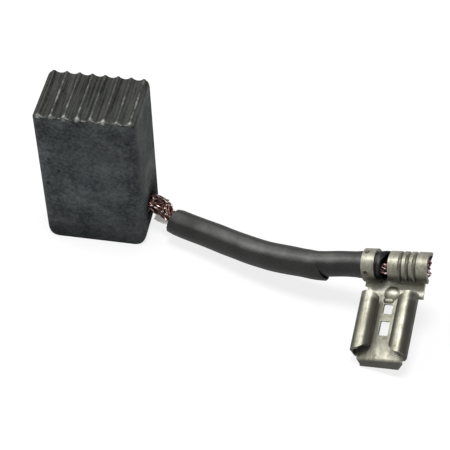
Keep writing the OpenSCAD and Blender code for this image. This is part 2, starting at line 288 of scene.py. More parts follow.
def make_copper_lead():
    """Rope of seven bundles of seven wires, loosened where it is bare and spread in the crimp"""
    line = smooth_route(LEAD_ROUTE, ROPE_STEP)
    marks = travelled(line)
    frames = cross_frames(line)
    total = marks[-1]
    crimp_start = total - WIRE_CRIMP_LENGTH
    rng = random.Random(SEED)
    swell = [(0, 1.0), (crimp_start - 0.4 * MM, 1.0), (crimp_start + 0.7 * MM, 1.5),
             (total, 1.72)]
    loose = [(0, 0.25), (0.9 * MM, 0.9), (3.2 * MM, 1.0), (5.4 * MM, 0.12),
             (crimp_start - 2.2 * MM, 0.12), (crimp_start - 1.0 * MM, 0.8),
             (crimp_start + 0.5 * MM, 0.3), (total, 0.35)]
    rope = Skin()
    for bundle in range(1 + ROUND_MIDDLE):
        bundle_at = 0 if bundle == 0 else BUNDLE_OUT
        bundle_turn = math.tau * bundle / ROUND_MIDDLE
        for wire in range(1 + ROUND_MIDDLE):
            wire_at = 0 if wire == 0 else WIRE_OUT
            wire_turn = math.tau * wire / ROUND_MIDDLE + rng.uniform(-0.2, 0.2)
            drift = Vector((rng.uniform(0, 90), rng.uniform(0, 90), rng.uniform(0, 90)))
            thick = rng.uniform(0.92, 1.12)
            stop = len(line) - rng.choice((0, 0, 1, 1, 2, 3))

            def place(i):
                s = marks[i]
                a = bundle_turn - math.tau * s / ROPE_LAY
                b = wire_turn - math.tau * s / BUNDLE_LAY
                stray = blend_at(loose, s) * STRAY
                wander = drift + Vector((s / STRAY_WAVE, 0, 0))
                grow = blend_at(swell, s)
                return (grow * (bundle_at * math.cos(a) + wire_at * math.cos(b))
                        + stray * noise.noise(wander),
                        grow * (bundle_at * math.sin(a) + wire_at * math.sin(b))
                        + stray * noise.noise(wander + Vector((0, 31, 0))))

            def radius(i):
                return WIRE_R * thick * blend_at(swell, marks[i])

            rings = wire_rings(line[:stop], frames[:stop], place, radius, ROPE_SIDES)
            rope.tube(rings, marks[:stop], True, rng.random())
    return rope.piece("copper_lead_strands"), line


# Loose and broken wires round the bare stretches of the lead, each by the points it follows,
# in millimetres
LOOSE_WIRES = [
    ((6.45, 0.5, 4.4), (6.9, 0.55, 4.75), (7.15, 0.35, 4.72), (7.22, -0.2, 4.55), (7.3, -0.7, 4.2)),
    ((6.3, -0.6, 4.2), (7.0, -1.0, 4.4), (7.7, -1.2, 4.3), (8.5, -1.25, 3.9), (9.3, -1.6, 3.3)),
    ((6.4, 0.3, 4.7), (7.6, 0.5, 5.0), (8.5, 0.25, 4.95), (9.4, -0.2, 4.7), (10.1, -0.6, 4.3)),
    ((7.4, -0.2, 4.8), (8.3, -0.1, 5.0), (9.0, -0.25, 5.1), (9.55, -0.5, 5.25)),
    ((8.2, -0.7, 4.6), (8.9, -0.6, 4.85), (9.5, -0.75, 4.9), (9.95, -0.9, 4.95)),
    ((8.0, -1.1, 3.2), (8.7, -1.6, 3.1), (9.3, -2.0, 3.05), (10.2, -2.4, 2.9)),
    ((7.2, -0.9, 3.3), (7.9, -1.35, 3.35), (8.5, -1.5, 3.6), (9.2, -1.7, 3.75), (10.0, -2.0, 3.6)),
    ((7.05, -1.0, 3.9), (7.5, -1.3, 3.6), (7.8, -1.2, 3.1), (8.1, -0.9, 2.75)),
    ((6.5, 0.9, 3.9), (7.3, 1.0, 4.1), (8.2, 0.7, 4.2), (9.2, 0.0, 4.0), (10.3, -0.8, 3.6)),
    ((7.9, -0.9, 4.5), (8.6, -1.2, 4.35), (9.2, -1.3, 4.4), (9.8, -1.5, 4.15)),
    ((39.9, -10.9, 8.6), (40.5, -11.2, 8.75), (41.1, -11.3, 8.8), (41.9, -11.2, 8.7)),
    ((39.8, -11.4, 7.8), (40.6, -11.55, 7.9), (41.2, -11.5, 8.15), (41.9, -11.3, 8.3)),
    ((44.6, -11.6, 9.9), (45.3, -11.75, 9.95), (45.7, -11.9, 9.8), (45.85, -12.05, 9.5)),
    ((44.5, -12.0, 8.9), (45.3, -12.1, 9.0), (45.65, -12.2, 8.8), (45.6, -12.25, 8.5)),
    ((44.7, -11.4, 9.6), (45.4, -11.6, 9.65), (45.85, -11.75, 9.5), (46.0, -11.9, 9.2)),
    ((44.6, -11.8, 8.5), (45.2, -12.0, 8.45), (45.6, -12.1, 8.25), (45.75, -12.0, 8.0)),
]
LOOSE_STEP = 0.16 * MM
LOOSE_SIDES = 8


def make_loose_wires():
    """Wires that have sprung out of the rope, cut off square"""
    rng = random.Random(SEED + 1)
    wires = Skin()
    for points in LOOSE_WIRES:
        line = smooth_route(in_metres(points), LOOSE_STEP)
        frames = cross_frames(line)
        rings = wire_rings(line, frames, lambda i: (0, 0), lambda i: WIRE_R, LOOSE_SIDES)
        wires.tube(rings, travelled(line), True, rng.uniform(0.55, 1.0))
    return wires.piece("loose_wires")


# ---------------------------------------------------------------- sleeving
SLEEVE_STEP = 0.35 * MM
SLEEVE_SIDES = 48
RIPPLE_WAVE = 3.2 * MM
# How far inside the outer sleeve's mouth the inner sleeve starts
INNER_FROM = 2.4 * MM


def sleeve_rings(line, marks, frames, radius, ripple, drift):
    """Rings of a sleeve, a little out of round and uneven along its length"""
    rings = []
    for i, (side, up, along) in enumerate(frames):
        ring = []
        for k in range(SLEEVE_SIDES):
            a = math.tau * k / SLEEVE_SIDES
            out = math.cos(a) * side + math.sin(a) * up
            uneven = ripple * noise.noise(drift + line[i] / RIPPLE_WAVE + out * 0.9)
            ring.append(line[i] + out * (radius(marks[i], a) + uneven))
        rings.append(ring)
    return rings


def make_sleeve(name, line, radius, wall, least_bore, ripple, seed, slant):
    """Hollow sleeve: outside, both cut ends and the bore, as one closed skin"""
    marks = travelled(line)
    frames = cross_frames(line)
    drift = Vector((seed, 2 * seed, 3 * seed))
    outside = sleeve_rings(line, marks, frames, radius, ripple, drift)
    bore = sleeve_rings(line, marks, frames,
                        lambda s, a: max(radius(s, a) - wall, least_bore), ripple, drift)
    for rings in (outside, bore):
        slant(rings, line, frames, marks)
    lip = 0.3 * wall
    skin = list(outside)
    ends = []
    for at, inward in ((0, 1), (-1, -1)):
        along = frames[at][2] * inward
        ends.append([[o.lerp(b, share) for o, b in zip(outside[at], bore[at])]
                     for share in (0.25, 0.75)])
        skin[at] = [o + along * lip for o in outside[at]]
    sheath = Skin()
    loop = [ends[0][0]] + skin + ends[1] + bore[::-1] + [ends[0][1], ends[0][0]]
    length = marks[-1]
    reach = ([-lip] + marks + [length + lip, length + lip + wall]
             + [length + wall + (length - m) for m in reversed(marks)]
             + [2 * length + 2 * wall, 2 * length + 3 * wall])
    sheath.tube(loop, reach, False)
    piece = sheath.piece(name)
    on_bench(piece)
    bpy.ops.object.mode_set(mode="EDIT")
    bpy.ops.mesh.select_all(action="SELECT")
    bpy.ops.mesh.remove_doubles(threshold=0.001 * MM)
    bpy.ops.mesh.normals_make_consistent(inside=False)
    bpy.ops.object.mode_set(mode="OBJECT")
    smooth_edges(piece, 50)
    return piece


def pull_end(rings, line, frames, near, towards, reach, least=-1.0):
    """Draws one end of a sleeve out along it, most on the side that it is pulled towards"""
    for i, share in enumerate(near):
        if share <= 0:
            continue
        side, up, along = frames[i]
        way = towards[0] * side + towards[1] * up
        for k, point in enumerate(rings[i]):
            lean = max(least, (point - line[i]).normalized().dot(way))
            rings[i][k] = point + along * (share * reach * lean)


def outer_ends(rings, line, frames, marks):
    """Outer sleeve: its mouth reaches on in front, its cut end on the underside"""
    total = marks[-1]
    mouth = [max(0.0, 1 - m / (1.4 * MM)) ** 2 for m in marks]
    cut = [max(0.0, 1 - (total - m) / (3.2 * MM)) ** 2 for m in marks]
    pull_end(rings, line, frames, mouth, (0.6, -0.8), -0.20 * MM)
    pull_end(rings, line, frames, cut, (0.35, -0.9), 0.75 * MM)


def inner_ends(rings, line, frames, marks):
    """Inner sleeve: behind the sleeve crimp its back side reaches on to the wire crimp"""
    total = marks[-1]
    cut = [max(0.0, 1 - (total - m) / (1.1 * MM)) ** 1.5 for m in marks]
    pull_end(rings, line, frames, cut, (-0.85, 0.5), 0.85 * MM, -0.05)


def outer_radius_for(length):
    """The outer sleeve widens to its cut end, and all but its underside is pressed down there"""
    def radius(s, a):
        full = blend_at([(0, 1.74 * MM), (0.9 * MM, 1.83 * MM), (12 * MM, 1.88 * MM),
                         (20 * MM, 1.94 * MM), (length, 2.26 * MM)], s)
        near = max(0.0, 1 - (length - s) / (4.5 * MM))
        above = 0.5 + 0.5 * math.tanh(3.0 * (math.sin(a) * 0.9 - math.cos(a) * 0.3 + 0.45))
        return full + (1.735 * MM - full) * above * near * near * (3 - 2 * near)
    return radius


def inner_radius_for(crimp_in, crimp_out):
    """The inner sleeve is nipped by the sleeve crimp and swells again behind it"""
    def radius(s, a):
        return blend_at([(0, 1.62 * MM), (crimp_in - 1.6 * MM, 1.70 * MM),
                         (crimp_in - 0.3 * MM, 1.79 * MM), (crimp_out + 0.1 * MM, 1.79 * MM),
                         (crimp_out + 0.45 * MM, 1.98 * MM), (crimp_out + 0.9 * MM, 1.93 * MM)], s)
    return radius


def make_sleeves():
    """The outer sleeve, and the inner one that runs on through the sleeve crimp"""
    whole = smooth_route(SLEEVE_ROUTE, SLEEVE_STEP)
    outer_line = [p for p in whole if p.x <= OUTER_CUT_X]
    outer = make_sleeve("outer_sleeving", outer_line, outer_radius_for(travelled(outer_line)[-1]),
                        wall=0.25 * MM, least_bore=1.70 * MM, ripple=0.05 * MM, seed=3.7,
                        slant=outer_ends)
    inner_line = [p for p, m in zip(whole, travelled(whole)) if m >= INNER_FROM]
    marks = travelled(inner_line)
    crimp_in, crimp_out = (next(m for p, m in zip(inner_line, marks) if p.x >= x - 1e-6)
                           for x in (CRIMP_FROM_X, CRIMP_TO_X))
    inner = make_sleeve("inner_sleeving", inner_line, inner_radius_for(crimp_in, crimp_out),
                        wall=0.3 * MM, least_bore=0.0, ripple=0.04 * MM, seed=9.1,
                        slant=inner_ends)
    return outer, inner


# ---------------------------------------------------------------- torn liner
# Corners of the torn tongue, from the sleeve's mouth to the block, in millimetres: front edge
# and back edge
TONGUE_FRONT = ((12.2, -3.35, 2.0), (10.6, -2.75, 2.0), (9.35, -2.28, 2.12), (8.5, -1.55, 1.75),
                (7.7, -0.95, 1.45), (7.32, -0.66, 1.36))
TONGUE_BACK = ((12.3, -2.4, 1.6), (10.9, -1.75, 2.3), (9.7, -1.42, 2.82), (8.95, -0.85, 2.5),
               (8.1, -0.2, 2.15), (7.62, 0.12, 1.98))
TONGUE_STEP = 0.14 * MM
TONGUE_ROWS, TONGUE_COLUMNS = 44, 12
TONGUE_WALL = 0.14 * MM
# How far the tongue bulges and which way, and how far its long edges and its tip are frayed
TONGUE_CROWN = Vector((0.05, -0.5, -0.55)).normalized() * 0.16 * MM
EDGE_FRAY, TIP_FRAY = 0.07 * MM, 0.12 * MM
# Size of the tongue on its map: a share of the way round, and its length
TONGUE_AROUND, TONGUE_ALONG = 0.25, 8 * MM


def tongue_row(t, a, b):
    """Points across the tongue at a share t of its length, from its front edge a to its back b"""
    row = []
    for k in range(TONGUE_COLUMNS + 1):
        w = k / TONGUE_COLUMNS
        at_edge = 1 if k in (0, TONGUE_COLUMNS) else 0.25
        frayed = EDGE_FRAY * noise.noise(Vector((t * 19, w * 2, 4))) * at_edge
        bulge = TONGUE_CROWN * math.sin(math.pi * w) * (0.4 + 0.6 * (1 - t))
        row.append(a.lerp(b, w) + bulge + (b - a).normalized() * frayed)
    return row


def make_liner():
    """Pale liner: a torn tongue that reaches from the sleeve's mouth to under the bare copper"""
    front = smooth_route(in_metres(TONGUE_FRONT), TONGUE_STEP)
    back = smooth_route(in_metres(TONGUE_BACK), TONGUE_STEP)
    rows = []
    for j in range(TONGUE_ROWS + 1):
        t = j / TONGUE_ROWS
        rows.append(tongue_row(t, front[round(t * (len(front) - 1))],
                               back[round(t * (len(back) - 1))]))
    along = (rows[-1][0] - rows[-4][0]).normalized()
    for k, point in enumerate(rows[-1]):
        rows[-1][k] = point + along * TIP_FRAY * noise.noise(Vector((k * 1.7, 8, 2)))
    wide = TONGUE_COLUMNS + 1
    faces = [(j * wide + k, j * wide + k + 1, (j + 1) * wide + k + 1, (j + 1) * wide + k)
             for j in range(TONGUE_ROWS) for k in range(TONGUE_COLUMNS)]
    piece = new_piece("torn_liner", [p for row in rows for p in row], faces)
    layer = piece.data.uv_layers.new(name="along")
    for loop in piece.data.loops:
        j, k = divmod(loop.vertex_index, wide)
        layer.data[loop.index].uv = (TONGUE_AROUND * k / TONGUE_COLUMNS,
                                     TONGUE_ALONG * j / TONGUE_ROWS)
    wall = piece.modifiers.new("wall", "SOLIDIFY")
    wall.thickness = TONGUE_WALL
    wall.offset = 0
    finish_modifiers(piece)
    smooth_edges(piece, 40)
    return piece


# ---------------------------------------------------------------- tamped powder
# Steps of the powder's face from its rim to the lead, in millimetres: how far in and how far out
POWDER_STEPS = ((0.06, 0.02), (0.14, 0.10), (0.16, 0.12), (0.16, -0.05))
POWDER_GRAIN, POWDER_ROUGHNESS = 0.35 * MM, 0.09 * MM


def make_tamped_powder():
    """Powder tamped round the lead in its hole: a plug with a rough face, drawn up at the lead"""
    depth = HOLE_DEPTH - POWDER_BELOW_MOUTH
    bench_clear()
    bpy.ops.mesh.primitive_cylinder_add(
        vertices=64, radius=HOLE_R - 0.005 * MM, depth=depth, rotation=(0, math.radians(90), 0),
        location=(SIDE_X - HOLE_DEPTH + depth / 2, HOLE.y, HOLE.z))
    plug = bpy.context.object
    plug.name = plug.data.name = "tamped_powder"
    settle_place(plug)
    bpy.ops.object.mode_set(mode="EDIT")
    bpy.ops.mesh.select_all(action="DESELECT")
    bpy.ops.object.mode_set(mode="OBJECT")
    for face in plug.data.polygons:
        face.select = face.normal.x > 0.9
    bpy.ops.object.mode_set(mode="EDIT")
    for width, rise in POWDER_STEPS:
        bpy.ops.mesh.inset(thickness=width * MM, depth=rise * MM)
    bpy.ops.object.mode_set(mode="OBJECT")
    face_x = SIDE_X - POWDER_BELOW_MOUTH - 0.01 * MM
    for vertex in plug.data.vertices:
        if vertex.co.x > face_x and (vertex.co - HOLE).yz.length < HOLE_R - 0.03 * MM:
            vertex.co.x += POWDER_ROUGHNESS * noise.noise(vertex.co / POWDER_GRAIN)
    smooth_edges(plug, 40)
    return plug


lead, lead_line = make_copper_lead()
loose_wires = make_loose_wires()
outer_sleeving, inner_sleeving = make_sleeves()
liner = make_liner()
powder = make_tamped_powder()


# ---------------------------------------------------------------- shared effects
class Graph:
    """Adds and joins nodes in a node tree"""

    def __init__(self, tree):
        self.tree = tree

    def node(self, kind, **settings):
        """A new node: a name that starts with in_ sets a socket, any other the node itself"""
        made = self.tree.nodes.new(kind)
        for key, value in settings.items():
            if key.startswith("in_"):
                made.inputs[key[3:].replace("_", " ")].default_value = value
            else:
                setattr(made, key, value)
        return made

    def join(self, out, into):
        self.tree.links.new(out, into)

    def feed(self, value, into):
        """Sets a socket to a number, or joins it to what another node puts out"""
        if isinstance(value, (int, float)):
            into.default_value = value
        else:
            self.join(value, into)

    def math(self, operation, a, b=None, c=None, clamp=False):
        made = self.node("ShaderNodeMath", operation=operation, use_clamp=clamp)
        for socket, value in zip(made.inputs, (a, b, c)):
            if value is not None:
                self.feed(value, socket)
        return made.outputs[0]

    def times(self, first, *others):
        """Masks and numbers multiplied in turn"""
        for other in others:
            first = self.math("MULTIPLY", first, other)
        return first

    def scaled(self, value, factor, offset):
        """The value times a factor, plus an offset"""
        return self.math("MULTIPLY_ADD", value, factor, offset)

    def ramp(self, value, low, high, to_low=0.0, to_high=1.0):
        """Eases from one number to another as the value goes from low to high"""
        made = self.node("ShaderNodeMapRange", interpolation_type="SMOOTHSTEP", in_From_Min=low,
                         in_From_Max=high, in_To_Min=to_low, in_To_Max=to_high)
        self.join(value, made.inputs["Value"])
        return made.outputs["Result"]

    def mix(self, mask, a, b):
        """Colour a where the mask is 0, colour b where it is 1"""
        made = self.node("ShaderNodeMix", data_type="RGBA")
        self.feed(mask, made.inputs["Factor"])
        for socket, value in zip([s for s in made.inputs if s.type == "RGBA"], (a, b)):
            if isinstance(value, tuple):
                socket.default_value = (*value, 1)
            else:
                self.join(value, socket)
        return [s for s in made.outputs if s.type == "RGBA"][0]

    def over(self, tone, colour, mask, share=None):
        """The tone with a colour laid over it by a mask, at a share of its full strength"""
        return self.mix(mask if share is None else self.times(mask, share), tone, colour)

    def group(self, tree, **values):
        """Places a shared effect with these values and gives what it puts out"""
        made = self.node("ShaderNodeGroup", node_tree=tree)
        for key, value in values.items():
            self.feed(value, made.inputs[key])
        return made.outputs[0]

    def noise(self, place, scale, detail):
        """Plain noise with this many patches to the metre"""
        tone = self.node("ShaderNodeTexNoise", in_Scale=scale, in_Detail=detail)
        self.join(place, tone.inputs["Vector"])
        return tone.outputs[0]

    def axes(self, vector):
        """X, Y and Z of a vector"""
        parts = self.node("ShaderNodeSeparateXYZ")
        self.join(vector, parts.inputs[0])
        return [parts.outputs[axis] for axis in "XYZ"]

    def quarter_turn(self, place):
        """The place turned a quarter round Z, so that scratches run the other way"""
        made = self.node("ShaderNodeMapping", in_Rotation=(0, 0, math.radians(90)))
        self.join(place, made.inputs["Vector"])
        return made.outputs[0]

    def gap(self, place, point):
        """Distance from a fixed point"""
        made = self.node("ShaderNodeVectorMath", operation="DISTANCE")
        self.join(place, made.inputs[0])
        made.inputs[1].default_value = point
        return made.outputs["Value"]

    def nearest(self, gaps):
        """The least of several distances"""
        least, *others = gaps
        for other in others:
            least = self.math("MINIMUM", least, other)
        return least

    def facing(self, way):
        """How far the surface faces a fixed direction: 1 towards it, 0 square to it, -1 away"""
        made = self.node("ShaderNodeVectorMath", operation="DOT_PRODUCT")
        self.join(self.node("ShaderNodeTexCoord").outputs["Normal"], made.inputs[0])
        made.inputs[1].default_value = way
        return made.outputs["Value"]

    def upward(self, low, high):
        """Mask of what faces up"""
        return self.ramp(self.facing((0, 0, 1)), low, high)


def new_group(name, place, result, **numbers):
    """An empty shared effect: a place and some numbers go in, and one value comes out"""
    tree = bpy.data.node_groups.new(name, "ShaderNodeTree")
    tree.interface.new_socket(place, in_out="INPUT", socket_type="NodeSocketVector")
    for label, usual in numbers.items():
        socket = tree.interface.new_socket(label, in_out="INPUT", socket_type="NodeSocketFloat")
        socket.default_value = usual
    tree.interface.new_socket(result, in_out="OUTPUT", socket_type="NodeSocketFloat")
    g = Graph(tree)
    return tree, g, g.node("NodeGroupInput").outputs, g.node("NodeGroupOutput").inputs[result]


def build_mottle():
    """Uneven tone: Size is the width of its patches, Low and High where it starts and is full"""
    tree, g, given, out = new_group("mottle", "Vector", "Mask",
                                    Size=1.0 * MM, Detail=3.0, Low=0.4, High=0.6)
    tone = g.node("ShaderNodeTexNoise")
    g.join(given["Vector"], tone.inputs["Vector"])
    g.join(g.math("DIVIDE", 1.0, given["Size"]), tone.inputs["Scale"])
    g.join(given["Detail"], tone.inputs["Detail"])
    spread = g.node("ShaderNodeMapRange", interpolation_type="SMOOTHSTEP")
    g.join(tone.outputs[0], spread.inputs["Value"])
    g.join(given["Low"], spread.inputs["From Min"])
    g.join(given["High"], spread.inputs["From Max"])
    g.join(spread.outputs["Result"], out)
    return tree


def build_pits():
    """Small round pits or grains: Size is their spacing, Share how much of it they fill"""
    tree, g, given, out = new_group("pits", "Vector", "Mask", Size=0.5 * MM, Share=0.25)
    cells = g.node("ShaderNodeTexVoronoi")
    g.join(given["Vector"], cells.inputs["Vector"])
    g.join(g.math("DIVIDE", 1.0, given["Size"]), cells.inputs["Scale"])
    near = g.math("DIVIDE", cells.outputs["Distance"], given["Share"])
    g.join(g.math("SUBTRACT", 1.0, near, clamp=True), out)
    return tree


def build_scratches():
    """Fine scratches along X of the place: Size is their spacing across, Stretch how many times
    longer they are, and Rarity how few"""
    tree, g, given, out = new_group("scratches", "Vector", "Mask",
                                    Size=0.4 * MM, Stretch=12.0, Rarity=0.62)
    x, y, z = g.axes(given["Vector"])
    drawn = g.node("ShaderNodeCombineXYZ")
    g.join(g.math("DIVIDE", x, given["Stretch"]), drawn.inputs["X"])
    g.join(y, drawn.inputs["Y"])
    g.join(z, drawn.inputs["Z"])
    tone = g.node("ShaderNodeTexNoise", in_Detail=2.0)
    g.join(drawn.outputs[0], tone.inputs["Vector"])
    g.join(g.math("DIVIDE", 1.0, given["Size"]), tone.inputs["Scale"])
    edge = g.math("SUBTRACT", tone.outputs[0], given["Rarity"])
    g.join(g.math("MULTIPLY", edge, 12.0, clamp=True), out)
    return tree


def build_edge_wear():
    """Worn edges: Width is how far the wear reaches from an edge, broken up by patches of Patch"""
    tree, g, given, out = new_group("edge_wear", "Vector", "Mask", Width=0.2 * MM, Patch=0.8 * MM)
    rounded = g.node("ShaderNodeBevel", samples=6)
    g.join(given["Width"], rounded.inputs["Radius"])
    turned = g.node("ShaderNodeVectorMath", operation="DOT_PRODUCT")
    g.join(rounded.outputs[0], turned.inputs[0])
    g.join(g.node("ShaderNodeNewGeometry").outputs["Normal"], turned.inputs[1])
    edge = g.math("SUBTRACT", 0.985, turned.outputs["Value"])
    edge = g.math("MULTIPLY", edge, 7.0, clamp=True)
    broken = g.group(MOTTLE, Vector=given["Vector"], Size=given["Patch"], Low=0.36, High=0.62)
    g.join(g.times(edge, broken), out)
    return tree


def build_braid():
    """Fine braid of a sleeve on its own map: Around is the count of threads round it, Pitch the
    length of one turn of the pattern"""
    tree, g, given, out = new_group("braid", "Map", "Height", Around=26.0, Pitch=0.9 * MM)
    map_x, map_y, _ = g.axes(given["Map"])
    around = g.times(map_x, given["Around"])
    along = g.math("DIVIDE", map_y, given["Pitch"])
    threads = []
    for way in ("ADD", "SUBTRACT"):
        turn = g.times(g.math(way, around, along), math.tau)
        threads.append(g.scaled(g.math("SINE", turn), 0.5, 0.5))
    g.join(g.math("MAXIMUM", *threads), out)
    return tree


MOTTLE = build_mottle()
PITS = build_pits()
SCRATCHES = build_scratches()
EDGE_WEAR = build_edge_wear()
BRAID = build_braid()


def new_finish(name, roughness=0.5, metallic=0.0, specular=0.5):
    """A plain finish to build on: the material, its graph, its shader and the place on the piece"""
    material = bpy.data.materials.new(name)
    material.use_nodes = True
    g = Graph(material.node_tree)
    shader = material.node_tree.nodes["Principled BSDF"]
    shader.inputs["Roughness"].default_value = roughness
    shader.inputs["Metallic"].default_value = metallic
    shader.inputs["Specular IOR Level"].default_value = specular
    return material, g, shader, g.node("ShaderNodeTexCoord").outputs["Object"]


def own_mottle(g, place, values):
    """The mottle's mask made in the material itself, for a socket that takes no shared effect"""
    tone = g.noise(place, 1 / values["Size"], values["Detail"])
    return g.ramp(tone, values["Low"], values["High"])


def dull_rim(g, shader, level, share):
    """The surface mirrors less towards the rims, where it is seen at a flat angle"""
    rim = g.node("ShaderNodeLayerWeight", in_Blend=0.5).outputs["Facing"]
    g.join(g.times(g.ramp(rim, 0.30, 0.90, level, 0.06 * level), share),
           shader.inputs["Specular IOR Level"])


def bump(g, height, strength, distance, shader):
    """Fine relief on the whole surface"""
    made = g.node("ShaderNodeBump", in_Strength=strength, in_Distance=distance)
    g.join(height, made.inputs["Height"])
    g.join(made.outputs[0], shader.inputs["Normal"])


# ---------------------------------------------------------------- graphite
GRAPHITE_CLOUDS = {"Size": 4.2 * MM, "Detail": 5.0, "Low": 0.30, "High": 0.70}
GRAPHITE_GRAIN = {"Size": 0.42 * MM, "Detail": 6.0, "Low": 0.34, "High": 0.72}
# Middle of the bluish bloom and the small dark chips, on the front of the block
BLOOM_AT = (-0.2 * MM, BLOCK_LOW.y, 10 * MM)
CHIPS = in_metres(((-4.1, -4.5, 12.6), (-4.35, -4.5, 12.2), (-5.3, -4.5, 16.4),
                   (-5.9, -4.5, 10.2), (-5.5, -4.5, 14.6), (5.6, -4.5, 18.9)))


def chip_mask(g, place):
    """Mask of the small chips, ragged at their edges"""
    from_chip = g.nearest([g.gap(place, at) for at in CHIPS])
    ragged = g.math("SUBTRACT", g.noise(place, 2400.0, 2.0), 0.5)
    return g.ramp(g.scaled(ragged, 0.9 * MM, from_chip), 0.34 * MM, 0.12 * MM)


def ridge_masks(g, place, x, y, z):
    """Masks of each ridge's worn crest, painted lighter as a highlight, and of its brighter tip at
    the front, a painted highlight
    """
    across = g.math("FRACT", g.math("DIVIDE", x, RIDGE_PITCH))
    from_crest = g.times(g.math("ABSOLUTE", g.math("SUBTRACT", across, 0.5)), RIDGE_PITCH)
    waver = g.math("SUBTRACT", g.noise(place, 1300.0, 3.0), 0.5)
    edge = g.scaled(waver, 0.42 * MM, from_crest)

    # The crest: worn, and painted lighter along it as a highlight
    crest = g.times(g.ramp(edge, 0.15 * MM, 0.02 * MM),
                    g.ramp(z, BLOCK_HIGH.z - 0.34 * MM, BLOCK_HIGH.z - 0.12 * MM))
    # Patches where the crest's painted highlight is stronger
    painted_sheen = g.group(MOTTLE, Vector=place, Size=1.3 * MM, Detail=4.0, Low=0.42, High=0.64)
    rank = g.group(MOTTLE, Vector=place, Size=3.5 * MM, Detail=0.0, Low=0.40, High=0.60)
    faded_left = g.ramp(x, BLOCK_LOW.x + 0.9 * MM, BLOCK_LOW.x + 1.8 * MM, 0.12, 1.0)
    line = g.times(crest, g.scaled(painted_sheen, 0.75, 0.12), g.scaled(rank, 0.65, 0.35), faded_left)

    chosen = g.group(MOTTLE, Vector=place, Size=1.5 * MM, Detail=1.0, Low=0.40, High=0.62)
    # The tip at the front of each ridge: a painted highlight
    tip = g.times(g.ramp(edge, 0.46 * MM, 0.05 * MM),
                  g.ramp(y, BLOCK_LOW.y + 0.70 * MM, BLOCK_LOW.y + 0.05 * MM),
                  g.ramp(z, BLOCK_HIGH.z - 0.75 * MM, BLOCK_HIGH.z - 0.25 * MM),
                  g.scaled(chosen, 0.85, 0.15))
    return line, tip


